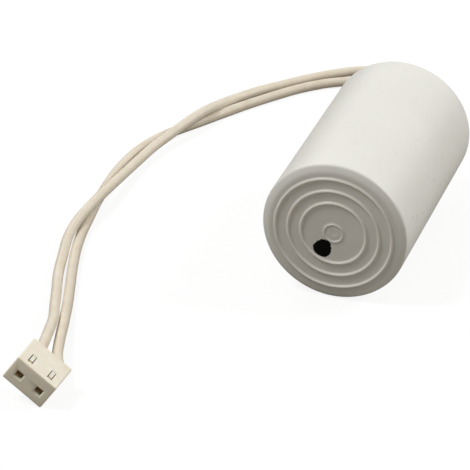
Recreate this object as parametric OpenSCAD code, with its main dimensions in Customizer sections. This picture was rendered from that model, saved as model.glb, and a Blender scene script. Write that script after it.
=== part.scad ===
// Motor run capacitor in a moulded can, with two flying leads and a two-way crimp plug.
// Millimetres. The can lies on its side along Y: its ribbed base faces -Y, its potted head +Y.

/* [Can] */
// Outer diameter of the can
can_d = 32; // [29:0.5:40]
// Overall length of the can, rib crests to mouth
can_l = 52; // [50:0.5:60]
// Side wall of the can
can_wall = 1.5; // [1.2:0.1:2]
// Thickness of the base wall
base_wall = 1.6; // [1.2:0.1:2.5]
// Radius of the outer edge round the base
base_edge_r = 0.6; // [0.4:0.1:0.8]
// How far the base falls away between the outer rib and its edge
base_drop = 0.3; // [0.1:0.05:0.6]
// Radius of the outer edge round the mouth
mouth_edge_r = 0.5; // [0.2:0.1:0.7]
// Lead-in chamfer inside the mouth
mouth_chamfer = 0.4; // [0.2:0.1:0.6]

/* [Base ribs] */
// Number of concentric ribs
rib_count = 3; // [1:1:3]
// Radius of the inner rib, to its crest
rib_r = 7.2; // [6:0.1:7.4]
// Distance from one rib to the next
rib_pitch = 2.85; // [2.2:0.05:2.95]
// Width of a rib
rib_w = 0.85; // [0.7:0.05:1.1]
// Height of a rib over the base
rib_h = 0.4; // [0.25:0.05:0.5]
// Radius of the small ring round the moulding gate
gate_r = 2.1; // [1.5:0.1:2.4]
// Width of the gate ring
gate_w = 0.5; // [0.4:0.05:0.6]
// Height of the gate ring over the base
gate_h = 0.2; // [0.1:0.05:0.25]

/* [Ink dot] */
// Mean diameter of the ink dot on the base
ink_d = 4.2; // [3:0.1:4.4]
// Distance of the dot from the can's axis
ink_offset = 4.64; // [4:0.02:4.8]
// Direction of the dot from the axis, from +X towards +Z
ink_angle = 239.6; // [0:0.2:360]
// Thickness of the ink film
ink_t = 0.05; // [0.03:0.01:0.1]

/* [Winding] */
// Thickness of the resin between the winding and the can's side
resin_gap = 1.5; // [1:0.1:2.5]
// Length of the winding, between its sprayed ends
film_l = 38; // [30:0.5:40]
// Outer diameter of the core that the film is wound on
core_d = 6.4; // [5:0.1:8]
// Thickness of the plain film wrapped round the winding
wrap_t = 0.3; // [0.2:0.05:0.5]
// Thickness of the sprayed metal on each end
spray_t = 0.5; // [0.3:0.1:0.8]
// Room under the winding for the lower joint
under_gap = 2.4; // [2.2:0.1:3]
// Depth of the potting below the rim of the mouth
potting_drop = 1.2; // [0.5:0.1:2]

/* [Leads] */
// Outer diameter of a lead's insulation
lead_d = 2.3; // [2:0.1:2.4]
// Diameter of the tinned strands inside it
strand_d = 1; // [0.8:0.05:1.1]
// Clearance round the lead that runs through the core
core_clear = 0.15; // [0.1:0.05:0.3]
// Distance from the winding's edge in to each solder joint
joint_inset = 5.7; // [4.5:0.1:6.3]
// Bare length of that lead, from the spray to its insulation
head_bare_l = 3.6; // [2:0.1:5]
// Radius of the bend in the bare end under the winding
bare_bend_r = 1.2; // [1:0.1:1.4]
// Diameter of a solder joint
solder_d = 4; // [3:0.1:5]
// Height of a solder joint
solder_h = 2; // [1.8:0.1:2.1]

/* [Plug] */
// Distance between the two sockets
socket_pitch = 5; // [4.8:0.05:5.2]
// Width of the housing
plug_w = 9.9; // [9.6:0.1:11]
// Height of the housing
plug_h = 6.7; // [6.2:0.1:8]
// Length of the housing, mating face to rear
plug_l = 7.8; // [7.6:0.1:10]
// Chamfer on the housing's edges
plug_edge = 0.2; // [0.1:0.05:0.4]
// Height of the socket centres over the underside
socket_z = 3.1; // [2.8:0.05:3.3]
// Side of a square socket entry
entry_w = 1.6; // [1.3:0.05:1.8]
// Chamfer round a socket entry
entry_chamfer = 0.3; // [0.1:0.05:0.4]
// Thickness of the front wall behind the mating face
front_wall = 0.9; // [0.7:0.05:1.1]
// Width of a locking tongue
tongue_w = 0.8; // [0.6:0.05:1]
// Width of the slits beside a tongue
slit_w = 0.18; // [0.12:0.02:0.25]
// Slot in front of a tongue's free end
slot_l = 0.55; // [0.4:0.05:0.8]
// Length of a tongue
tongue_l = 1.9; // [1.5:0.1:2.2]
// Thickness of a tongue
tongue_t = 1; // [0.8:0.1:1.3]

/* [Contacts] */
// Outer side of a contact's square box
box_w = 2.8; // [2.6:0.05:2.9]
// Length of the box
box_l = 3.3; // [3:0.1:3.5]
// Thickness of the contact strip
strip_t = 0.22; // [0.18:0.02:0.25]
// Clearance between a contact and its cavity
contact_clear = 0.05; // [0.03:0.01:0.1]
// Length of the barrel crimped on the strands
strand_crimp_l = 1; // [0.8:0.1:1.1]
// Length of the barrel crimped on the insulation
lead_crimp_l = 1; // [0.8:0.1:1.1]
// Length of the neck between box and barrel, and between barrels
neck_l = 0.5; // [0.4:0.05:0.6]

/* [Resting pose of the plug] */
// Position along X of the plug's edge on the table
plug_x = -42.8; // [-46:0.1:-40]
// Position along Y of the mating face
plug_y = -84.7; // [-88:0.1:-82]
// Turn of the plug about Z
plug_yaw = -2.4; // [-8:0.1:8]
// Roll of the plug about its own length
plug_roll = 35; // [30:0.5:40]

/* [Hidden] */
$fn = 96;
small_fn = 48;
// Overlap that makes two shapes of one piece a single solid
weld = 0.15;
// How far a cutting shape runs past the surface that it cuts
past = 1;

can_r = can_d / 2;
bore_r = can_r - can_wall;
floor_z = rib_h + base_wall;
potting_z = can_l - potting_drop;
lead_r = lead_d / 2;
strand_r = strand_d / 2;
film_r = bore_r - resin_gap - wrap_t;
core_r = core_d / 2;
joint_r = film_r - joint_inset;
// Levels along the can's axis: lower spray, film, upper spray
stack_z = floor_z + under_gap;
film_z = stack_z + spray_t;
head_spray_z = film_z + film_l;
stack_top_z = head_spray_z + spray_t;
// The bare end under the winding turns from the axis into the joint
joint_level = stack_z - bare_bend_r;
ink_lobe_r = ink_d * 0.2;
ink_lobes = 7;

tongue_front = front_wall + slot_l / 2;
tongue_root = tongue_front + slot_l + tongue_l;
top_wall = plug_h - socket_z - box_w / 2 - contact_clear;
nib_depth = strip_t + contact_clear;
box_end = front_wall + box_l;
strand_crimp_y = box_end + neck_l;
lead_end_y = strand_crimp_y + strand_crimp_l + neck_l - weld;
socket_xs = [plug_w / 2 - socket_pitch / 2, plug_w / 2 + socket_pitch / 2];

// The free routes, chosen by hand from the head of the can to the plug
route_a = [
    [7, 32, 15.4], [7, 37.5, 13.4], [7, 43, 10.4], [6.5, 48.5, 7], [6, 54, 4], [4.8, 60, 2],
    [2.6, 65.8, 1.3], [-1, 71.2, 1.2], [-6, 75.5, 1.2], [-12.5, 78.2, 1.2], [-19.5, 78.8, 1.2],
    [-26, 76.6, 1.2], [-31, 73, 1.2], [-36, 68.5, 1.2], [-40.5, 63.7, 1.2], [-45, 58.5, 1.3],
    [-48.2, 53, 1.7], [-50.3, 47, 2.7], [-52, 41, 3.6], [-53.6, 36, 3.7], [-55.3, 31, 3.3],
    [-57, 26.5, 2.7], [-58.5, 21.5, 2.3], [-59.5, 15.5, 2.1], [-60, 8.5, 2.5], [-60.3, 1, 3.2],
    [-60.6, -5.5, 3.7], [-61.1, -12, 3.7], [-61.6, -18, 3.3], [-61.4, -24, 2.4],
    [-60.2, -30, 1.5], [-58.4, -37, 1.2], [-55.9, -44, 1.5], [-53.4, -51, 2.2],
    [-51, -57.5, 3.3], [-49.1, -64.5, 4.7], [-47.5, -71, 5.9]];
route_b = [
    [0, 32, 15.4], [0, 37.5, 13.4], [0, 43, 10.4], [-0.5, 48.5, 7], [-1, 54, 4],
    [-2.5, 60, 2], [-5.5, 65, 1.3], [-10.5, 69.5, 1.2], [-16.5, 72, 1.2], [-23, 71.8, 1.2],
    [-29, 69, 1.2], [-33, 66, 1.2], [-37, 62, 1.2], [-40.2, 58, 1.2], [-43.2, 54, 1.2],
    [-46.2, 49.7, 1.2], [-49, 45.3, 1.2], [-51.7, 41, 1.2], [-54.4, 36.8, 1.2],
    [-57.1, 32.6, 1.2], [-59.5, 28, 1.2], [-61.5, 22.5, 1.2], [-62.6, 16.5, 1.2],
    [-63, 9.5, 1.2], [-62.7, 2.5, 1.2], [-62.1, -5, 1.2], [-61.1, -12, 1.2],
    [-60, -19.5, 1.2], [-58.4, -26.8, 1.2], [-56.3, -34, 1.2], [-54, -41, 1.2],
    [-51.7, -48, 1.3], [-49.4, -55.5, 1.9], [-47, -63.5, 2.9], [-44.5, -71, 3.8]];
tube_sides = 8;
straight_run = 2;

// ---- Frames ----

// Local Z runs along the can from its base; the can then lies along +Y on the table
module along_can() {
    translate([0, -can_l / 2, can_r]) rotate([-90, 0, 0]) children();
}

// A point of the can's axis frame, x across and z along, in the part's frame
function can_point(x, z) = [x, z - can_l / 2, can_r];

// Local X across the plug, Y from its mating face to its rear, Z up from its underside
module in_plug() {
    translate([plug_x, plug_y, -plug_edge * sin(plug_roll)])
        rotate([0, 0, plug_yaw]) rotate([0, plug_roll, 0]) translate([-plug_w, 0, 0]) children();
}

function turn_y(p, a) = [p.x * cos(a) + p.z * sin(a), p.y, p.z * cos(a) - p.x * sin(a)];
function turn_z(p, a) = [p.x * cos(a) - p.y * sin(a), p.x * sin(a) + p.y * cos(a), p.z];
// A point on a socket's axis, at a distance from the mating face, in the part's frame
function socket_point(i, y) =
    [plug_x, plug_y, -plug_edge * sin(plug_roll)]
    + turn_z(turn_y([socket_xs[i] - plug_w, y, socket_z], plug_roll), plug_yaw);

// ---- The swept lead ----

function unit(v) = v / norm(v);
function heading(route, i) =
    unit(route[min(i + 1, len(route) - 1)] - route[max(i - 1, 0)]);
function ring(p, t) =
    let (side = unit(cross(t, [0, 0, 1])), rise = cross(side, t))
    [for (k = [0:tube_sides - 1])
        p + lead_r * (cos(360 * k / tube_sides) * side + sin(360 * k / tube_sides) * rise)];
function tube_faces(rings) = concat(
    [[for (k = [0:tube_sides - 1]) k]],
    [for (i = [0:rings - 2], k = [0:tube_sides - 1])
        let (here = i * tube_sides, next = here + tube_sides, kk = (k + 1) % tube_sides)
        [here + k, next + k, next + kk, here + kk]],
    [[for (k = [tube_sides - 1:-1:0]) (rings - 1) * tube_sides + k]]);

module lead_tube(route) {
    points = [for (i = [0:len(route) - 1]) each ring(route[i], heading(route, i))];
    polyhedron(points = points, faces = tube_faces(len(route)), convexity = 6);
}

// The straight stretch in the potting, the free route, and the straight stretch in the plug
function whole_route(x, start_z, free, socket) = concat(
    [can_point(x, start_z), can_point(x, potting_z), can_point(x, can_l + straight_run / 2)],
    free,
    [socket_point(socket, plug_l + straight_run), socket_point(socket, plug_l),
        socket_point(socket, lead_end_y)]);

// ---- Can ----

module base_rings_2d() {
    for (i = [0:rib_count - 1])
        translate([rib_r + i * rib_pitch, rib_w / 2]) circle(d = rib_w, $fn = small_fn);
    translate([gate_r, rib_h - gate_h + gate_w / 2]) circle(d = gate_w, $fn = small_fn);
}

module can_outline_2d() {
    slope_r = rib_r + (rib_count - 1) * rib_pitch + rib_w / 2;
    edge_r = can_r - base_edge_r;
    edge_z = rib_h + base_drop;
    polygon([
        [0, rib_h], [slope_r, rib_h], [edge_r, edge_z], [edge_r, edge_z + base_edge_r],
        [can_r, edge_z + base_edge_r], [can_r, can_l - mouth_edge_r],
        [can_r - mouth_edge_r, can_l - mouth_edge_r], [can_r - mouth_edge_r, can_l],
        [0, can_l]]);
    translate([edge_r, edge_z + base_edge_r]) circle(r = base_edge_r, $fn = small_fn);
    translate([can_r - mouth_edge_r, can_l - mouth_edge_r])
        circle(r = mouth_edge_r, $fn = small_fn);
}

module can_cavity_2d() {
    polygon([
        [0, floor_z], [bore_r, floor_z], [bore_r, can_l - mouth_chamfer],
        [bore_r + mouth_chamfer, can_l], [bore_r + mouth_chamfer, can_l + past],
        [0, can_l + past]]);
}

module can() {
    color("whitesmoke") along_can() rotate_extrude() difference() {
        union() {
            can_outline_2d();
            base_rings_2d();
        }
        can_cavity_2d();
    }
}

// A blot of ink laid on the base between the gate ring and the inner rib
module ink_dot() {
    color("black") along_can() difference() {
        translate([ink_offset * cos(ink_angle), -ink_offset * sin(ink_angle), rib_h - ink_t])
            linear_extrude(height = ink_t) {
                circle(d = ink_d - ink_lobe_r, $fn = small_fn);
                for (k = [0:ink_lobes - 1])
                    rotate(k * 360 / ink_lobes)
                        translate([ink_d / 2 - ink_lobe_r * (1 + 0.12 * (k % 3)), 0])
                            circle(r = ink_lobe_r, $fn = small_fn);
            }
        rotate_extrude() base_rings_2d();
    }
}

// ---- Inside the can ----

module ring_disc(outer_r, inner_r, from_z, height) {
    translate([0, 0, from_z]) difference() {
        cylinder(r = outer_r, h = height);
        translate([0, 0, -past]) cylinder(r = inner_r, h = height + 2 * past);
    }
}

module film_winding() {
    color("lightsteelblue") along_can() ring_disc(film_r, core_r, film_z, film_l);
}

module winding_core() {
    color("ivory") along_can()
        ring_disc(core_r, lead_r + core_clear, stack_z, stack_top_z - stack_z);
}

module outer_wrap() {
    color("lightyellow") along_can() ring_disc(film_r + wrap_t, film_r, film_z, film_l);
}

module end_spray_base() {
    color("darkgray") along_can() ring_disc(film_r, core_r, stack_z, spray_t);
}

module end_spray_head() {
    color("darkgray") along_can() ring_disc(film_r, core_r, head_spray_z, spray_t);
}

// The tinned strands from the core's mouth round into the lower joint
module base_strands() {
    translate([bare_bend_r, 0, stack_z]) rotate([90, 0, 0]) rotate([0, 0, 180])
        rotate_extrude(angle = 90, $fn = small_fn)
            translate([bare_bend_r, 0]) circle(r = strand_r, $fn = small_fn);
    translate([bare_bend_r, 0, joint_level]) rotate([0, 90, 0])
        cylinder(r = strand_r, h = joint_r - bare_bend_r, $fn = small_fn);
}

module head_strands() {
    translate([joint_r, 0, stack_top_z])
        cylinder(r = strand_r, h = head_bare_l, $fn = small_fn);
}

module bare_end_base() {
    color("silver") along_can() base_strands();
}

module bare_end_head() {
    color("silver") along_can() head_strands();
}

// A low dome of solder that stands on a flat face at local Z 0
module solder_dome() {
    dome_r = (pow(solder_d / 2, 2) + pow(solder_h, 2)) / (2 * solder_h);
    intersection() {
        translate([0, 0, solder_h - dome_r]) sphere(r = dome_r, $fn = small_fn);
        cylinder(d = solder_d + weld, h = solder_h + past, $fn = small_fn);
    }
}

module base_joint() {
    translate([joint_r, 0, stack_z]) mirror([0, 0, 1]) solder_dome();
}

module head_joint() {
    translate([joint_r, 0, stack_top_z]) solder_dome();
}

module solder_joint_base() {
    color("gainsboro") along_can() difference() {
        base_joint();
        base_strands();
    }
}

module solder_joint_head() {
    color("gainsboro") along_can() difference() {
        head_joint();
        head_strands();
    }
}

module potting_resin() {
    color("tan") along_can() difference() {
        translate([0, 0, floor_z]) cylinder(r = bore_r, h = potting_z - floor_z);
        translate([0, 0, film_z]) cylinder(r = film_r + wrap_t, h = film_l);
        translate([0, 0, stack_z]) cylinder(r = film_r, h = stack_top_z - stack_z);
        translate([0, 0, stack_top_z]) cylinder(r = lead_r, h = can_l, $fn = small_fn);
        translate([joint_r, 0, stack_top_z + head_bare_l])
            cylinder(r = lead_r, h = can_l, $fn = small_fn);
        base_strands();
        head_strands();
        base_joint();
        head_joint();
    }
}

// ---- Leads ----

module lead_a() {
    color("cornsilk")
        lead_tube(whole_route(joint_r, stack_top_z + head_bare_l, route_a, 0));
}

module lead_b() {
    color("cornsilk") lead_tube(whole_route(0, stack_z, route_b, 1));
}

// ---- Plug ----

module chamfered_2d(w, h) {
    c = plug_edge;
    polygon([[c, 0], [w - c, 0], [w, c], [w, h - c], [w - c, h], [c, h], [0, h - c], [0, c]]);
}

// The housing's outer block, with every edge chamfered
module plug_block() {
    intersection() {
        translate([0, plug_l, 0]) rotate([90, 0, 0])
            linear_extrude(height = plug_l) chamfered_2d(plug_w, plug_h);
        linear_extrude(height = plug_h) chamfered_2d(plug_w, plug_l);
        rotate([90, 0, 90]) linear_extrude(height = plug_w) chamfered_2d(plug_l, plug_h);
    }
}

// A square hole through the front wall, with a chamfered mouth
module socket_entry() {
    thin = 0.01;
    translate([-entry_w / 2, -past, -entry_w / 2])
        cube([entry_w, front_wall + 2 * past, entry_w]);
    hull() {
        translate([-entry_w / 2, entry_chamfer, -entry_w / 2]) cube([entry_w, thin, entry_w]);
        translate([-entry_w / 2 - entry_chamfer, -thin, -entry_w / 2 - entry_chamfer])
            cube([entry_w + 2 * entry_chamfer, thin, entry_w + 2 * entry_chamfer]);
    }
}

module contact_cavity() {
    side = box_w + 2 * contact_clear;
    translate([-side / 2, front_wall, -side / 2])
        cube([side, plug_l - front_wall + past, side]);
}

// The opening in the top wall that the tongue lies in
module tongue_window() {
    w = tongue_w + 2 * slit_w;
    translate([-w / 2, tongue_front, box_w / 2])
        cube([w, tongue_root - tongue_front, plug_h]);
}

// The sprung tongue: rooted at its rear, with a nib that drops behind the box's notch
module locking_tongue() {
    top = plug_h - socket_z;
    free = tongue_front + slot_l;
    under = top - tongue_t;
    nib = top - top_wall - nib_depth;
    translate([tongue_w / 2, 0, 0]) rotate([90, 0, -90]) mirror([1, 0, 0])
        linear_extrude(height = tongue_w) polygon([
            [free, top], [free, nib], [free + tongue_t / 3, nib],
            [free + tongue_t / 2, under], [tongue_root + weld, under],
            [tongue_root + weld, top]]);
}

module plug_housing() {
    color("antiquewhite") in_plug() {
        difference() {
            plug_block();
            for (x = socket_xs)
                translate([x, 0, socket_z]) {
                    socket_entry();
                    contact_cavity();
                    tongue_window();
                }
        }
        for (x = socket_xs) translate([x, 0, socket_z]) locking_tongue();
    }
}

// ---- Contacts ----

// A flat strip that joins two levels of the contact's floor
module floor_ramp(y0, z0, y1, z1) {
    w = box_w / 2;
    translate([w / 2, 0, 0]) rotate([90, 0, -90]) mirror([1, 0, 0])
        linear_extrude(height = w) polygon([
            [y0 - weld, z0], [y0, z0], [y1, z1], [y1 + weld, z1],
            [y1 + weld, z1 - strip_t], [y1, z1 - strip_t], [y0, z0 - strip_t],
            [y0 - weld, z0 - strip_t]]);
}

module barrel(inner_r, from_y, length) {
    translate([0, from_y + length, 0]) rotate([90, 0, 0]) difference() {
        cylinder(r = inner_r + strip_t, h = length, $fn = small_fn);
        translate([0, 0, -past]) cylinder(r = inner_r, h = length + 2 * past, $fn = small_fn);
    }
}

// The folded box, open at both ends, with a notch for the tongue's nib
module contact_box() {
    inner = box_w - 2 * strip_t;
    difference() {
        translate([-box_w / 2, front_wall + contact_clear, -box_w / 2])
            cube([box_w, box_l - contact_clear, box_w]);
        translate([-inner / 2, front_wall - past, -inner / 2])
            cube([inner, box_l + 2 * past, inner]);
        translate([-tongue_w / 2 - slit_w, tongue_front + slot_l - slit_w, box_w / 2 - 2 * strip_t])
            cube([tongue_w + 2 * slit_w, tongue_t, 3 * strip_t]);
    }
}

// The bowed leaf that presses on the mating pin
module contact_leaf() {
    w = box_w / 2;
    base = -box_w / 2 + strip_t;
    y0 = front_wall + 2 * contact_clear;
    top = -entry_w / 2 + strip_t;
    mid = front_wall + box_l / 2;
    translate([w / 2, 0, 0]) rotate([90, 0, -90]) mirror([1, 0, 0])
        linear_extrude(height = w) polygon([
            [y0, base - strip_t / 2], [y0, base + strip_t / 2], [mid - strip_t, top],
            [mid + strip_t, top], [box_end - strip_t, base + strip_t / 2],
            [box_end - strip_t, base - strip_t / 2]]);
}

module contact(i) {
    color("goldenrod") in_plug() translate([socket_xs[i], 0, socket_z]) {
        contact_box();
        contact_leaf();
        floor_ramp(box_end, -box_w / 2 + strip_t, strand_crimp_y, -strand_r);
        barrel(strand_r, strand_crimp_y, strand_crimp_l);
        floor_ramp(strand_crimp_y + strand_crimp_l, -strand_r, lead_end_y, -lead_r);
        barrel(lead_r, lead_end_y, lead_crimp_l);
    }
}

module contact_a() { contact(0); }
module contact_b() { contact(1); }

// The tinned strands, from the insulation's cut end through the crimp
module crimped_end(i) {
    brush = neck_l / 2;
    color("silver") in_plug() translate([socket_xs[i], lead_end_y, socket_z]) rotate([90, 0, 0])
        cylinder(r = strand_r, h = lead_end_y - strand_crimp_y + brush, $fn = small_fn);
}

module crimped_end_a() { crimped_end(0); }
module crimped_end_b() { crimped_end(1); }

can();
ink_dot();
potting_resin();
film_winding();
winding_core();
outer_wrap();
end_spray_base();
end_spray_head();
solder_joint_base();
solder_joint_head();
bare_end_base();
bare_end_head();
lead_a();
lead_b();
plug_housing();
contact_a();
contact_b();
crimped_end_a();
crimped_end_b();
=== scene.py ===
import math

import bmesh
import bpy
from mathutils import Matrix, Vector, noise


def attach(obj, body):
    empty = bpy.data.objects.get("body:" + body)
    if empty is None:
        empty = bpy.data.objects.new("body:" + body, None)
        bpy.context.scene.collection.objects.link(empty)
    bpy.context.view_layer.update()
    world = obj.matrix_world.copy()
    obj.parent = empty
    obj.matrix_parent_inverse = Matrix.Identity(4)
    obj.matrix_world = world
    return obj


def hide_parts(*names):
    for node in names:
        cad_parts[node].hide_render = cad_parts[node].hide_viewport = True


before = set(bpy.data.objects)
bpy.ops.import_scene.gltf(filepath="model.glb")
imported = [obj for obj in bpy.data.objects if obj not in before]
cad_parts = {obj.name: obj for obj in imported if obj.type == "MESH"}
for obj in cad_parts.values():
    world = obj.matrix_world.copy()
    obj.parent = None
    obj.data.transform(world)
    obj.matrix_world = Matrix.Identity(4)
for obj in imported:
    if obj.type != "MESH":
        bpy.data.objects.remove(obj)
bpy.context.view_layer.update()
MM = 0.001
scene = bpy.context.scene
scene.view_settings.view_transform = "Standard"

# ---------------------------------------------------------------- camera
AZ, EL = math.radians(19.06), math.radians(29.72)
cam = bpy.data.objects.new("camera", bpy.data.cameras.new("camera"))
scene.collection.objects.link(cam)
back = Vector((math.sin(AZ) * math.cos(EL), -math.cos(AZ) * math.cos(EL), math.sin(EL)))
cam.location = (0.14196, -0.4965, 0.30224)
cam.rotation_mode = "QUATERNION"
cam.rotation_quaternion = (-back).to_track_quat("-Z", "Y")
cam.data.sensor_width = 36.0
cam.data.lens = 206.8
cam.data.shift_x = -0.0113
cam.data.shift_y = -0.0535
cam.data.clip_start, cam.data.clip_end = 0.02, 20.0
scene.camera = cam


# ---------------------------------------------------------------- materials
PLASTIC_IOR = 1.46
SCATTER_RGB, SCATTER_M = (0.8, 0.55, 0.35), 0.0012


class Mat:
    """A node material built by name, with short calls."""

    def __init__(self, name, rough=0.5, metal=0.0, sss=0.0):
        self.material = bpy.data.materials.new(name)
        self.material.use_nodes = True
        self.tree = self.material.node_tree
        self.shader = self.tree.nodes["Principled BSDF"]
        self.shader.inputs["Roughness"].default_value = rough
        self.shader.inputs["IOR"].default_value = PLASTIC_IOR
        self.shader.inputs["Metallic"].default_value = metal
        if sss:
            self.shader.inputs["Subsurface Weight"].default_value = sss
            self.shader.inputs["Subsurface Radius"].default_value = SCATTER_RGB
            self.shader.inputs["Subsurface Scale"].default_value = SCATTER_M
        self.coords = self.node("ShaderNodeTexCoord").outputs["Object"]

    def node(self, kind, **attrs):
        made = self.tree.nodes.new(kind)
        for k, v in attrs.items():
            setattr(made, k, v)
        return made

    def link(self, a, b):
        self.tree.links.new(a, b)

    def noise(self, scale, detail=3.0, rough=0.5, vec=None, dist=0.0):
        """Noise with features of 1/scale metres."""
        k = self.node("ShaderNodeTexNoise")
        k.inputs["Scale"].default_value = scale
        k.inputs["Detail"].default_value = detail
        k.inputs["Roughness"].default_value = rough
        k.inputs["Distortion"].default_value = dist
        self.link(vec if vec is not None else self.coords, k.inputs["Vector"])
        return k.outputs["Fac"]

    def ramp(self, fac, *stops):
        r = self.node("ShaderNodeValToRGB")
        el = r.color_ramp.elements
        while len(el) < len(stops):
            el.new(0.5)
        for e, (p, c) in zip(el, stops):
            e.position = p
            e.color = (*c, 1.0) if len(c) == 3 else c
        self.link(fac, r.inputs["Fac"])
        return r.outputs["Color"]

    def grey(self, fac, lo, hi, a, b):
        """fac from lo to hi becomes a to b."""
        r = self.node("ShaderNodeMapRange")
        for s, v in zip(("From Min", "From Max", "To Min", "To Max"), (lo, hi, a, b)):
            r.inputs[s].default_value = v
        self.link(fac, r.inputs["Value"])
        return r.outputs["Result"]

    def mix(self, fac, a, b, how="MIX"):
        x = self.node("ShaderNodeMix", data_type="RGBA", blend_type=how)
        for s, v in ((0, fac), (6, a), (7, b)):
            if isinstance(v, (int, float)):
                x.inputs[s].default_value = v
            elif isinstance(v, tuple):
                x.inputs[s].default_value = (*v, 1.0)
            else:
                self.link(v, x.inputs[s])
        return x.outputs[2]

    def math(self, op, a, b=None):
        x = self.node("ShaderNodeMath", operation=op)
        for i, v in enumerate((a, b)):
            if v is None:
                continue
            if isinstance(v, (int, float)):
                x.inputs[i].default_value = v
            else:
                self.link(v, x.inputs[i])
        return x.outputs[0]

    def color(self, socket):
        self.link(socket, self.shader.inputs["Base Color"])

    def rough(self, socket):
        self.link(socket, self.shader.inputs["Roughness"])

    def bump(self, height, distance, strength=1.0, after=None):
        k = self.node("ShaderNodeBump")
        k.inputs["Strength"].default_value = strength
        k.inputs["Distance"].default_value = distance
        self.link(height, k.inputs["Height"])
        if after is not None:
            self.link(after, k.inputs["Normal"])
        self.link(k.outputs["Normal"], self.shader.inputs["Normal"])
        return k.outputs["Normal"]


def can_material():
    m = Mat("can_moulded", rough=0.42, sss=0.12)
    broad = m.noise(45, 4, 0.55)
    side = m.ramp(broad, (0.3, (0.80, 0.795, 0.755)), (0.7, (0.84, 0.838, 0.80)))
    # The end face gets a greyer colour than the side. Part of that darkening is painted shade on the
    # flats between the ribs, set low so the crests stand out brighter.
    end_face_tone_and_painted_shade = m.ramp(broad, (0.3, (0.675, 0.66, 0.62)), (0.7, (0.735, 0.72, 0.68)))
    sep = m.node("ShaderNodeSeparateXYZ")
    m.link(m.coords, sep.inputs[0])
    # Painted highlight: the ribs' crests get a paler colour (0.86, 0.84, 0.78) that stands in for the
    # light they catch.
    crest_painted_highlight = m.grey(sep.outputs["Y"], -0.02590, -0.02568, 1.0, 0.0)
    on_base = m.grey(sep.outputs["Y"], -0.02560, -0.02545, 1.0, 0.0)
    base = m.mix(on_base, side, end_face_tone_and_painted_shade)
    base = m.mix(crest_painted_highlight, base, (0.86, 0.84, 0.78))
    specks = m.grey(m.noise(2600, 2, 0.6), 0.70, 0.78, 0.0, 1.0)
    grime = m.grey(m.noise(260, 5, 0.7, dist=0.6), 0.60, 0.85, 0.0, 0.30)
    c = m.mix(grime, base, (0.55, 0.47, 0.38))
    c = m.mix(m.math("MULTIPLY", specks, 0.25), c, (0.40, 0.34, 0.27))
    flank = m.math("MULTIPLY", m.grey(sep.outputs["X"], 0.0140, 0.0157, 0.0, 0.7),
                   m.grey(sep.outputs["Y"], 0.018, 0.006, 0.0, 1.0))
    scuffs = m.grey(m.noise(620, 6, 0.75, dist=0.5), 0.58, 0.70, 0.0, 1.0)
    c = m.mix(m.math("MULTIPLY", flank, scuffs), c, (0.36, 0.33, 0.29))
    m.color(c)
    m.rough(m.grey(m.noise(700, 3), 0.3, 0.7, 0.36, 0.50))
    n1 = m.bump(m.noise(1500, 3, 0.6), 0.00002, 0.5)
    m.bump(m.noise(120, 2), 0.00008, 0.5, n1)
    return m.material


def ink_material():
    m = Mat("marker_ink", rough=0.8)
    m.shader.inputs["Specular IOR Level"].default_value = 0.12
    m.color(m.ramp(m.noise(900, 3), (0.3, (0.001, 0.001, 0.001)), (0.8, (0.004, 0.004, 0.004))))
    m.rough(m.grey(m.noise(1800, 2), 0.3, 0.7, 0.7, 0.9))
    m.bump(m.noise(2500, 3), 0.00002, 0.5)
    return m.material


def resin_material():
    m = Mat("potting_resin", rough=0.3, sss=0.15)
    m.color(m.ramp(m.noise(160, 4, 0.6), (0.3, (0.50, 0.44, 0.34)), (0.7, (0.62, 0.56, 0.45))))
    m.rough(m.grey(m.noise(420, 3), 0.3, 0.7, 0.22, 0.45))
    n1 = m.bump(m.noise(300, 2), 0.0001, 0.5)
    m.bump(m.noise(2200, 3), 0.00001, 0.5, n1)
    return m.material


def lead_material(name, tint):
    m = Mat(name, rough=0.45, sss=0.1)
    fine = m.noise(300, 4, 0.6)
    r, g, b = tint
    base = m.ramp(fine, (0.3, (r * 0.93, g * 0.91, b * 0.87)), (0.7, (r, g, b)))
    dirt = m.grey(m.noise(130, 5, 0.65), 0.58, 0.80, 0.0, 0.30)
    m.color(m.mix(dirt, base, (0.42, 0.33, 0.22)))
    m.rough(m.grey(m.noise(1200, 3), 0.3, 0.7, 0.38, 0.55))
    m.bump(m.noise(1600, 3), 0.00002, 0.5)
    return m.material


def plug_material():
    m = Mat("plug_moulded", rough=0.38, sss=0.3)
    base = m.ramp(m.noise(200, 4), (0.3, (0.86, 0.80, 0.67)), (0.7, (0.90, 0.85, 0.73)))
    dirt = m.grey(m.noise(500, 5, 0.7), 0.62, 0.82, 0.0, 0.25)
    m.color(m.mix(dirt, base, (0.5, 0.4, 0.27)))
    m.rough(m.grey(m.noise(1500, 3), 0.3, 0.7, 0.30, 0.46))
    m.bump(m.noise(2600, 3), 0.000015, 0.5)
    return m.material


def metal_material(name, dark, light, rough, bump=0.00001, scale=2500):
    m = Mat(name, metal=1.0, rough=rough)
    m.color(m.ramp(m.noise(scale / 3, 4), (0.3, dark), (0.7, light)))
    m.rough(m.grey(m.noise(scale, 3), 0.3, 0.7, rough * 0.8, rough * 1.25))
    m.bump(m.noise(scale, 3), bump, 0.6)
    return m.material


def plain_material(name, dark, light, rough, scale=600, bump=0.00001):
    m = Mat(name, rough=rough)
    m.color(m.ramp(m.noise(scale, 4), (0.3, dark), (0.7, light)))
    m.rough(m.grey(m.noise(scale * 2, 3), 0.3, 0.7, rough * 0.85, rough * 1.2))
    m.bump(m.noise(scale * 3, 3), bump, 0.5)
    return m.material


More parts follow.
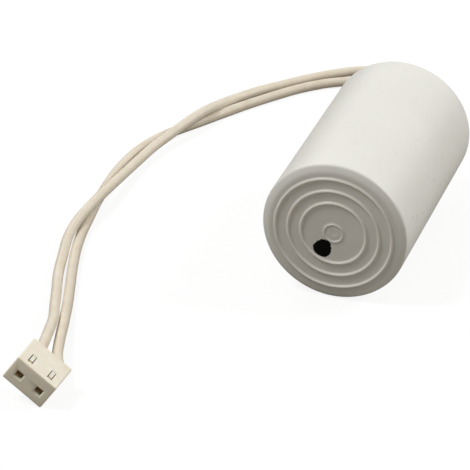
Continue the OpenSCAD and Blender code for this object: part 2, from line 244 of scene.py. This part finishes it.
M_CAN = can_material()
M_INK = ink_material()
M_RESIN = resin_material()
M_LEAD_A = lead_material("lead_cream", (0.80, 0.735, 0.625))
# Painted shade: lead B is the lower lead, lying in lead A's shadow. It is the same insulation as lead A,
# given a slightly darker tint.
M_LEAD_B = lead_material("lead_cream_painted_shade", (0.78, 0.71, 0.60))
M_PLUG = plug_material()
M_BRASS = metal_material("contact_brass", (0.66, 0.47, 0.20), (0.82, 0.62, 0.32), 0.45)
M_TIN = metal_material("tinned_strands", (0.55, 0.54, 0.52), (0.75, 0.74, 0.72), 0.35)
M_SOLDER = metal_material("solder", (0.50, 0.50, 0.51), (0.70, 0.70, 0.71), 0.45)
M_ZINC = metal_material("sprayed_zinc", (0.38, 0.38, 0.40), (0.55, 0.55, 0.57), 0.75, 0.0001)
M_FILM = metal_material("metallised_film", (0.50, 0.52, 0.56), (0.68, 0.70, 0.74), 0.25)
M_CORE = plain_material("core_plastic", (0.70, 0.68, 0.60), (0.78, 0.76, 0.70), 0.5)
M_WRAP = plain_material("wrap_film", (0.70, 0.68, 0.55), (0.78, 0.76, 0.64), 0.25)

NODE_MATERIALS = {
    "can": M_CAN,
    "ink_dot": M_INK,
    "potting_resin": M_RESIN,
    "film_winding": M_FILM,
    "winding_core": M_CORE,
    "outer_wrap": M_WRAP,
    "end_spray_base": M_ZINC,
    "end_spray_head": M_ZINC,
    "solder_joint_base": M_SOLDER,
    "solder_joint_head": M_SOLDER,
    "bare_end_base": M_TIN,
    "bare_end_head": M_TIN,
    "lead_a": M_LEAD_A,
    "lead_b": M_LEAD_B,
    "plug_housing": M_PLUG,
    "contact_a": M_BRASS,
    "contact_b": M_BRASS,
    "crimped_end_a": M_TIN,
    "crimped_end_b": M_TIN,
}
for node_name, mat in NODE_MATERIALS.items():
    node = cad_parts[node_name]
    if node.material_slots:
        for s in node.material_slots:
            s.material = mat
    else:
        node.data.materials.append(mat)


# ---------------------------------------------------------------- helpers
def add(name, verts, faces, mat, smooth=True):
    me = bpy.data.meshes.new(name)
    me.from_pydata([tuple(v) for v in verts], [], faces)
    me.validate()
    me.materials.append(mat)
    if smooth:
        me.polygons.foreach_set("use_smooth", [True] * len(me.polygons))
    ob = bpy.data.objects.new(name, me)
    scene.collection.objects.link(ob)
    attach(ob, "root")
    return ob


# ---------------------------------------------------------------- leads
LEAD_D = 2.3
LEAD_WOBBLE = 0.012
CAN_R = 16.0
CAN_L = 52.0
HEAD_Y = CAN_L / 2
RESIN_Y = HEAD_Y - 1.2
PLUG_W, PLUG_H, PLUG_L = 9.9, 6.7, 7.8
PLUG_EDGE = 0.2
PLUG_ROUND = 0.3
HOLE_EASE = 0.08
ENTRY_W, CAVITY_W, FRONT_WALL = 1.6, 2.9, 0.9
WINDOW_W, WINDOW_Y = 1.16, (1.175, 3.625)
TONGUE_W, TONGUE_T = 0.8, 1.0
# Depth and half width of the funnel round each entry
FUNNEL = ((-0.02, 1.12), (0.3, 0.78))
PLUG_AT, PLUG_YAW = (-42.8, -84.7), math.radians(-2.4)
SOCKET_X = (2.45, 7.45)
SOCKET_Z = 3.1
PLUG_ROLL = math.radians(35)
PLUG_M = (
    Matrix.Translation((*PLUG_AT, -PLUG_EDGE * math.sin(PLUG_ROLL)))
    @ Matrix.Rotation(PLUG_YAW, 4, "Z")
    @ Matrix.Rotation(PLUG_ROLL, 4, "Y")
    @ Matrix.Translation((-PLUG_W, 0, 0))
)

# The leads' free points from the can's head to the plug, the same as in the part's source
ROUTE_A = [
    (7, 32, 15.4), (7, 37.5, 13.4), (7, 43, 10.4), (6.5, 48.5, 7), (6, 54, 4), (4.8, 60, 2),
    (2.6, 65.8, 1.3), (-1, 71.2, 1.2), (-6, 75.5, 1.2), (-12.5, 78.2, 1.2), (-19.5, 78.8, 1.2),
    (-26, 76.6, 1.2), (-31, 73, 1.2), (-36, 68.5, 1.2), (-40.5, 63.7, 1.2), (-45, 58.5, 1.3),
    (-48.2, 53, 1.7), (-50.3, 47, 2.7), (-52, 41, 3.6), (-53.6, 36, 3.7), (-55.3, 31, 3.3),
    (-57, 26.5, 2.7), (-58.5, 21.5, 2.3), (-59.5, 15.5, 2.1), (-60, 8.5, 2.5), (-60.3, 1, 3.2),
    (-60.6, -5.5, 3.7), (-61.1, -12, 3.7), (-61.6, -18, 3.3), (-61.4, -24, 2.4),
    (-60.2, -30, 1.5), (-58.4, -37, 1.2), (-55.9, -44, 1.5), (-53.4, -51, 2.2),
    (-51, -57.5, 3.3), (-49.1, -64.5, 4.7), (-47.5, -71, 5.9),
]
ROUTE_B = [
    (0, 32, 15.4), (0, 37.5, 13.4), (0, 43, 10.4), (-0.5, 48.5, 7), (-1, 54, 4),
    (-2.5, 60, 2), (-5.5, 65, 1.3), (-10.5, 69.5, 1.2), (-16.5, 72, 1.2), (-23, 71.8, 1.2),
    (-29, 69, 1.2), (-33, 66, 1.2), (-37, 62, 1.2), (-40.2, 58, 1.2), (-43.2, 54, 1.2),
    (-46.2, 49.7, 1.2), (-49, 45.3, 1.2), (-51.7, 41, 1.2), (-54.4, 36.8, 1.2),
    (-57.1, 32.6, 1.2), (-59.5, 28, 1.2), (-61.5, 22.5, 1.2), (-62.6, 16.5, 1.2),
    (-63, 9.5, 1.2), (-62.7, 2.5, 1.2), (-62.1, -5, 1.2), (-61.1, -12, 1.2),
    (-60, -19.5, 1.2), (-58.4, -26.8, 1.2), (-56.3, -34, 1.2), (-54, -41, 1.2),
    (-51.7, -48, 1.3), (-49.4, -55.5, 1.9), (-47, -63.5, 2.9), (-44.5, -71, 3.8),
]


def plug_point(x, y, z):
    return PLUG_M @ Vector((x, y, z))


def full_route(x, free, sx):
    head = [Vector((x, y, CAN_R)) for y in (RESIN_Y - 2.5, RESIN_Y, HEAD_Y + 1)]
    tail = [plug_point(sx, y, SOCKET_Z) for y in (PLUG_L + 2, PLUG_L, 6.0)]
    return head + [Vector(p) for p in free] + tail


def smooth_path(pts, step=0.6):
    """A Catmull-Rom curve through the points, with a point about every step mm."""
    q = [2 * pts[0] - pts[1]] + pts + [2 * pts[-1] - pts[-2]]
    out = []
    for i in range(1, len(q) - 2):
        p0, p1, p2, p3 = q[i - 1], q[i], q[i + 1], q[i + 2]
        n = max(2, int((p2 - p1).length / step))
        for k in range(n):
            t = k / n
            out.append(
                0.5 * (2 * p1 + (p2 - p0) * t + (2 * p0 - 5 * p1 + 4 * p2 - p3) * t * t
                       + (3 * p1 - p0 - 3 * p2 + p3) * t ** 3)
            )
    out.append(q[-2])
    return out


def tube(name, path, radius, mat, sides=28, seed=0.0):
    verts, faces = [], []
    side = None
    for i, p in enumerate(path):
        t = (path[min(i + 1, len(path) - 1)] - path[max(i - 1, 0)]).normalized()
        if side is None:
            side = t.cross(Vector((0, 0, 1))).normalized()
        side = (side - t * side.dot(t)).normalized()
        up = side.cross(t)
        for k in range(sides):
            a = 2 * math.pi * k / sides
            d = side * math.cos(a) + up * math.sin(a)
            w = noise.noise((p + d * radius) * 0.35 + Vector((seed, 0, 0)))
            r = radius * (1 + LEAD_WOBBLE * w)
            verts.append((p + d * r) * MM)
    n = len(path)
    for i in range(n - 1):
        for k in range(sides):
            a, b = i * sides + k, i * sides + (k + 1) % sides
            faces.append((a, a + sides, b + sides, b))
    faces.append(tuple(range(sides)))
    faces.append(tuple((n - 1) * sides + k for k in reversed(range(sides))))
    return add(name, verts, faces, mat)


path_a = smooth_path(full_route(7, ROUTE_A, SOCKET_X[0]))
path_b = smooth_path(full_route(0, ROUTE_B, SOCKET_X[1]))
lead_a = tube("lead_a_insulation", path_a, LEAD_D / 2, M_LEAD_A, seed=3.0)
lead_b = tube("lead_b_insulation", path_b, LEAD_D / 2, M_LEAD_B, seed=9.0)
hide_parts("lead_a")
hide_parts("lead_b")


# ---------------------------------------------------------------- can
RIB_R, RIB_PITCH = 7.2, 2.85
RIBS = [RIB_R + RIB_PITCH * i for i in range(3)]
RIB_W, RIB_H = 0.85, 0.4
RIB_GAP_MID = 1.42
CREST = 0.995
NUB_H = 0.05
GATE_R, GATE_W, GATE_H = 2.1, 0.5, 0.2
EDGE_R = 0.8
RIB_FOOT = RIB_W * 0.58
RIM_IN, RIM_OUT, RIM_DROP = 13.7, 15.2, 0.36
MOUTH_R, MOUTH_CHAMFER, BORE_R = 0.5, 0.4, 14.5
CAN_SIDES = 288


def point(r, z):
    return Vector((r, z))


def arc(centre_r, centre_z, radius, start, stop, steps):
    """The points of an arc from start to stop, in degrees."""
    angles = [math.radians(start + (stop - start) * k / steps) for k in range(steps + 1)]
    return [point(centre_r + radius * math.cos(a), centre_z + radius * math.sin(a)) for a in angles]


def rib_height(t):
    """Height of a rib's section at t, from -1 to 1 across its foot."""
    return RIB_H * math.cos(t * math.pi / 2) ** 1.5


def rib_points(r):
    """One rib with soft flanks on the base plane, z = RIB_H, its crest near z = 0."""
    pts = [point(r - RIB_W * 0.80, RIB_H)]
    for k in range(13):
        t = -1 + k / 6
        pts.append(point(r + RIB_FOOT * t, RIB_H - rib_height(t) * CREST))
    pts.append(point(r + RIB_W * 0.80, RIB_H))
    return pts


def can_profile():
    outer = [point(0.001, RIB_H)]
    nub = ((0.7, 0), (0.9, NUB_H), (1.1, NUB_H), (1.3, 0), (1.6, 0))
    outer += [point(r, RIB_H - d) for r, d in nub]
    for k in range(9):
        t = -1 + k / 4
        outer.append(point(GATE_R + GATE_W * 0.5 * t, RIB_H - GATE_H * math.cos(t * math.pi / 2) ** 1.2))
    outer += [point(r, RIB_H) for r in (2.8, 3.6, 4.4, 5.2, 6.0)]
    for i, r in enumerate(RIBS):
        outer += rib_points(r)
        if i < len(RIBS) - 1:
            outer.append(point(r + RIB_GAP_MID, RIB_H))
    for k in range(1, 9):
        t = k / 8
        outer.append(point(RIM_IN + (RIM_OUT - RIM_IN) * t, RIB_H + RIM_DROP * t ** 2))
    start, ez = 27, RIB_H + RIM_DROP + 0.08
    outer += arc(CAN_R - EDGE_R, ez + EDGE_R, EDGE_R, -90 + start, 0, 14)
    z = ez + EDGE_R
    steps = 34
    for k in range(1, steps + 1):
        outer.append(point(CAN_R, z + (CAN_L - MOUTH_R - z) * k / steps))
    outer += arc(CAN_R - MOUTH_R, CAN_L - MOUTH_R, MOUTH_R, 0, 90, 6)[1:]
    outer += [point(14.95, CAN_L - 0.02), point(14.88, CAN_L - 0.06)]
    outer += [point(BORE_R, CAN_L - MOUTH_CHAMFER), point(BORE_R, CAN_L - 3.0)]
    return outer


def revolve(name, prof, mat, segs, wob):
    verts, faces = [], []
    n = len(prof)
    for s in range(segs):
        a = 2 * math.pi * s / segs
        ca, sa = math.cos(a), math.sin(a)
        for p in prof:
            r, z = wob(p.x, p.y, a)
            verts.append((r * ca * MM, (z - CAN_L / 2) * MM, (CAN_R + r * sa) * MM))
    for s in range(segs):
        s2 = (s + 1) % segs
        for i in range(n - 1):
            faces.append((s * n + i, s2 * n + i, s2 * n + i + 1, s * n + i + 1))
    faces.append(tuple(s * n for s in reversed(range(segs))))
    return add(name, verts, faces, mat)


def can_wobble(r, z, a):
    """The mould's sink and the gate ring's eight flats, some hundredths of a millimetre."""
    x, y = r * math.cos(a), r * math.sin(a)
    if z < 1.0 and r < 15:
        z += 0.02 * noise.noise(Vector((x * 0.25, y * 0.25, 1.7)))
        if 1.6 < r < 2.6:
            flat = (a / (math.pi / 4)) % 1 - 0.5
            r *= 1 - 0.035 * (0.25 - flat * flat) * 2
    elif r > 15.9:
        r -= 0.02 + 0.02 * noise.noise(Vector((x * 0.12, y * 0.12, z * 0.10)))
    return r, z


can = revolve("can_shell", can_profile(), M_CAN, CAN_SIDES, can_wobble)
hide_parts("can")


# ---------------------------------------------------------------- resin
WALL_CREEP, WALL_REACH = 0.35, 1.3
LEAD_CREEP, LEAD_REACH = 0.45, 1.1
RESIN_SHOWN = 2


def resin_piece():
    """The cast face, a little lower in its middle, that creeps up the wall and both leads."""
    lead_at = ((7.0, 0.0), (0.0, 0.0))
    rings, segs = 46, 144
    outer = BORE_R
    verts, faces = [], []

    def height(x, y):
        r = math.hypot(x, y)
        z = WALL_CREEP * max(0.0, 1 - (outer - r) / WALL_REACH) ** 2.5
        for lx, ly in lead_at:
            d = math.hypot(x - lx, y - ly) - LEAD_D / 2
            z += LEAD_CREEP * max(0.0, 1 - max(d, 0) / LEAD_REACH) ** 2.5
        z += 0.05 * noise.noise(Vector((x * 0.22, y * 0.22, 4.1)))
        z += 0.03 * noise.noise(Vector((x * 0.7, y * 0.7, 8.3)))
        return z

    for i in range(rings + 1):
        r = outer * i / rings
        for s in range(segs):
            a = 2 * math.pi * s / segs
            x, y = r * math.cos(a), r * math.sin(a)
            verts.append((x * MM, (RESIN_Y + height(x, y)) * MM, (CAN_R + y) * MM))
            if i == 0:
                break
    for s in range(segs):
        faces.append((0, 1 + (s + 1) % segs, 1 + s))
    for i in range(rings - 1):
        o1, o2 = 1 + i * segs, 1 + (i + 1) * segs
        for s in range(segs):
            t = (s + 1) % segs
            faces.append((o1 + s, o1 + t, o2 + t, o2 + s))
    last = 1 + (rings - 1) * segs
    n0 = len(verts)
    for s in range(segs):
        a = 2 * math.pi * s / segs
        x, y = outer * math.cos(a), outer * math.sin(a)
        verts.append((x * MM, (RESIN_Y - RESIN_SHOWN) * MM, (CAN_R + y) * MM))
    for s in range(segs):
        t = (s + 1) % segs
        faces.append((last + s, last + t, n0 + t, n0 + s))
    faces.append(tuple(n0 + s for s in range(segs)))
    ob = add("resin_face", verts, faces, M_RESIN)
    bm = bmesh.new()
    bm.from_mesh(ob.data)
    bmesh.ops.recalc_face_normals(bm, faces=bm.faces)
    bm.to_mesh(ob.data)
    bm.free()
    return ob


resin = resin_piece()
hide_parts("potting_resin")


# ---------------------------------------------------------------- ink dot
INK_R = 2.1
INK_OFFSET, INK_ANGLE = 4.64, math.radians(239.6)
INK_OVAL, INK_LOBES, INK_RAG = 0.04, 0.04, 0.22
INK_LEAN = math.radians(60)
INK_T, INK_EDGE_T = 0.045, 0.004


def ink_piece():
    """A blot about 4 mm across, thin at its ragged edge, that reaches the first rib's foot."""
    cx, cy = INK_OFFSET * math.cos(INK_ANGLE), INK_OFFSET * math.sin(INK_ANGLE)
    segs, rings = 96, 12
    verts, faces = [], []

    def reach(deg):
        a = math.radians(deg)
        oval = INK_OVAL * math.cos(2 * (a - INK_LEAN))
        lobes = INK_LOBES * math.cos(3 * (a - INK_LEAN))
        rag = INK_RAG * noise.noise(Vector((math.cos(a) * 4, math.sin(a) * 4, 2.2)))
        return INK_R * (1 + oval + lobes) + rag

    def ground(x, y):
        r = math.hypot(x, y)
        z = RIB_H
        q = (r - RIBS[0]) / RIB_FOOT
        if abs(q) < 1:
            z = RIB_H - rib_height(q)
        g = (r - GATE_R) / (GATE_W * 0.5)
        if abs(g) < 1:
            z = RIB_H - GATE_H * math.cos(g * math.pi / 2) ** 1.2
        return z

    for i in range(rings + 1):
        k = i / rings
        for s in range(segs):
            deg = 360 * s / segs
            r = reach(deg) * k
            x, y = cx + r * math.cos(math.radians(deg)), cy + r * math.sin(math.radians(deg))
            lift = INK_T * (1 - k ** 6) + INK_EDGE_T
            z = ground(x, y) - lift
            verts.append((x * MM, (z - CAN_L / 2) * MM, (CAN_R + y) * MM))
            if i == 0:
                break
    for s in range(segs):
        faces.append((0, 1 + s, 1 + (s + 1) % segs))
    for i in range(rings - 1):
        o1, o2 = 1 + i * segs, 1 + (i + 1) * segs
        for s in range(segs):
            t = (s + 1) % segs
            faces.append((o1 + s, o2 + s, o2 + t, o1 + t))
    return add("ink_blot", verts, faces, M_INK)


ink = ink_piece()
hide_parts("ink_dot")


# ---------------------------------------------------------------- plug housing
def block(bm, lo, hi):
    x0, y0, z0 = lo
    x1, y1, z1 = hi
    vs = [bm.verts.new(p) for p in ((x0, y0, z0), (x1, y0, z0), (x1, y1, z0), (x0, y1, z0),
                                    (x0, y0, z1), (x1, y0, z1), (x1, y1, z1), (x0, y1, z1))]
    for f in ((0, 3, 2, 1), (4, 5, 6, 7), (0, 1, 5, 4), (1, 2, 6, 5), (2, 3, 7, 6), (3, 0, 4, 7)):
        bm.faces.new([vs[i] for i in f])


def mesh_object(name, make):
    bm = bmesh.new()
    make(bm)
    bmesh.ops.recalc_face_normals(bm, faces=bm.faces)
    me = bpy.data.meshes.new(name)
    bm.to_mesh(me)
    bm.free()
    ob = bpy.data.objects.new(name, me)
    scene.collection.objects.link(ob)
    return ob


def cut(ob, tool):
    md = ob.modifiers.new("cut", "BOOLEAN")
    md.operation = "DIFFERENCE"
    md.solver = "EXACT"
    md.object = tool
    apply_modifiers(ob)
    bpy.data.objects.remove(tool)


def apply_modifiers(ob):
    dg = bpy.context.evaluated_depsgraph_get()
    me = bpy.data.meshes.new_from_object(ob.evaluated_get(dg))
    ob.modifiers.clear()
    ob.data = me


def ease(ob, width, segments):
    """Rounds the sharp edges."""
    md = ob.modifiers.new("edge", "BEVEL")
    md.width = width
    md.segments = segments
    md.limit_method = "ANGLE"
    md.angle_limit = math.radians(50)
    md.use_clamp_overlap = True
    apply_modifiers(ob)


def plug_piece():
    w, h, l = PLUG_W, PLUG_H, PLUG_L
    ob = mesh_object("plug_shell", lambda bm: block(bm, (0, 0, 0), (w, l, h)))
    ease(ob, PLUG_ROUND, 4)

    def entries(bm):
        for x in SOCKET_X:
            r = ENTRY_W / 2
            block(bm, (x - r, -1, SOCKET_Z - r), (x + r, 2, SOCKET_Z + r))

    def cavities(bm):
        for x in SOCKET_X:
            r = CAVITY_W / 2
            block(bm, (x - r, FRONT_WALL, SOCKET_Z - r), (x + r, l + 1, SOCKET_Z + r))

    def windows(bm):
        for x in SOCKET_X:
            r = WINDOW_W / 2
            block(bm, (x - r, WINDOW_Y[0], SOCKET_Z + 1), (x + r, WINDOW_Y[1], h + 1))

    def mouths(bm):
        for x in SOCKET_X:
            vs = []
            for y, r in FUNNEL:
                for sx, sz in ((-1, -1), (1, -1), (1, 1), (-1, 1)):
                    vs.append(bm.verts.new((x + sx * r, y, SOCKET_Z + sz * r)))
            bm.faces.new(vs[:4])
            bm.faces.new(vs[4:][::-1])
            for i in range(4):
                bm.faces.new((vs[i], vs[(i + 1) % 4], vs[4 + (i + 1) % 4], vs[4 + i]))

    cut(ob, mesh_object("entries", entries))
    cut(ob, mesh_object("cavities", cavities))
    cut(ob, mesh_object("windows", windows))
    cut(ob, mesh_object("mouths", mouths))
    ease(ob, HOLE_EASE, 2)

    def tongues(bm):
        for x in SOCKET_X:
            top, under = h - 0.03, h - TONGUE_T
            prof = ((1.72, top), (1.72, 4.35), (2.05, 4.35), (2.2, under), (3.8, under), (3.8, top))
            lo = [bm.verts.new((x - TONGUE_W / 2, y, z)) for y, z in prof]
            hi = [bm.verts.new((x + TONGUE_W / 2, y, z)) for y, z in prof]
            n = len(prof)
            bm.faces.new(lo)
            bm.faces.new(hi[::-1])
            for i in range(n):
                bm.faces.new((lo[i], hi[i], hi[(i + 1) % n], lo[(i + 1) % n]))

    tg = mesh_object("tongues", tongues)
    ease(tg, HOLE_EASE, 2)
    bm = bmesh.new()
    bm.from_mesh(ob.data)
    bm.from_mesh(tg.data)
    bmesh.ops.transform(bm, matrix=Matrix.Scale(MM, 4) @ PLUG_M, verts=bm.verts)
    me = bpy.data.meshes.new("plug_shell")
    bm.to_mesh(me)
    bm.free()
    bpy.data.objects.remove(tg)
    ob.data = me
    me.materials.clear()
    me.materials.append(M_PLUG)
    me.polygons.foreach_set("use_smooth", [True] * len(me.polygons))
    me.set_sharp_from_angle(angle=math.radians(35))
    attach(ob, "root")
    return ob


plug = plug_piece()
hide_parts("plug_housing")


# ---------------------------------------------------------------- floor and light
def camera_sees(tree, seen, other, out):
    """Gives the camera's own rays one shader and all other rays another."""
    path = tree.nodes.new("ShaderNodeLightPath")
    pick = tree.nodes.new("ShaderNodeMixShader")
    tree.links.new(path.outputs["Is Camera Ray"], pick.inputs[0])
    tree.links.new(other.outputs[0], pick.inputs[1])
    tree.links.new(seen.outputs[0], pick.inputs[2])
    tree.links.new(pick.outputs[0], out.inputs[0])


def floor_material():
    m = bpy.data.materials.new("floor_white")
    m.use_nodes = True
    t = m.node_tree
    t.nodes.clear()
    out = t.nodes.new("ShaderNodeOutputMaterial")
    seen = t.nodes.new("ShaderNodeBsdfDiffuse")
    seen.inputs["Color"].default_value = (0.16, 0.16, 0.16, 1)
    glow = t.nodes.new("ShaderNodeEmission")
    glow.inputs["Strength"].default_value = 0.87
    both = t.nodes.new("ShaderNodeAddShader")
    t.links.new(seen.outputs[0], both.inputs[0])
    t.links.new(glow.outputs[0], both.inputs[1])
    bounce = t.nodes.new("ShaderNodeBsdfDiffuse")
    bounce.inputs["Color"].default_value = (0.28, 0.265, 0.235, 1)
    camera_sees(t, both, bounce, out)
    return m


FLOOR_HALF, FLOOR_DROP = 3, 0.00002
corners = [(x * FLOOR_HALF, y * FLOOR_HALF, 0) for x, y in ((-1, -1), (1, -1), (1, 1), (-1, 1))]
floor_mesh = bpy.data.meshes.new("floor")
floor_mesh.from_pydata(corners, [], [(0, 1, 2, 3)])
floor_mesh.materials.append(floor_material())
floor = bpy.data.objects.new("floor", floor_mesh)
floor.location.z = -FLOOR_DROP
scene.collection.objects.link(floor)

world = bpy.data.worlds.new("studio")
scene.world = world
world.use_nodes = True
wt = world.node_tree
bg = wt.nodes["Background"]
bg.inputs["Color"].default_value = (1.0, 0.965, 0.90, 1)
bg.inputs["Strength"].default_value = 0.33
white = wt.nodes.new("ShaderNodeBackground")
white.inputs["Color"].default_value = (1, 1, 1, 1)
white.inputs["Strength"].default_value = 1.0
camera_sees(wt, white, bg, wt.nodes["World Output"])


def area(name, at, look, size, power, color=(1, 1, 1)):
    d = bpy.data.lights.new(name, "AREA")
    d.shape = "DISK"
    d.size = size
    d.energy = power
    d.color = color
    o = bpy.data.objects.new(name, d)
    o.location = at
    o.rotation_mode = "QUATERNION"
    o.rotation_quaternion = (Vector(look) - Vector(at)).to_track_quat("-Z", "Y")
    scene.collection.objects.link(o)


area("key", (-0.45, -0.26, 0.85), (0, 0, 0.01), 0.25, 3.9, (1.0, 1.0, 1.0))
area("back_right", (0.70, 0.42, 0.58), (0, 0, 0.01), 0.5, 5.1, (1.0, 1.0, 0.99))
area("back_left", (-0.6, 0.6, 0.52), (0, 0, 0.01), 0.5, 1.9, (1.0, 1.0, 0.99))
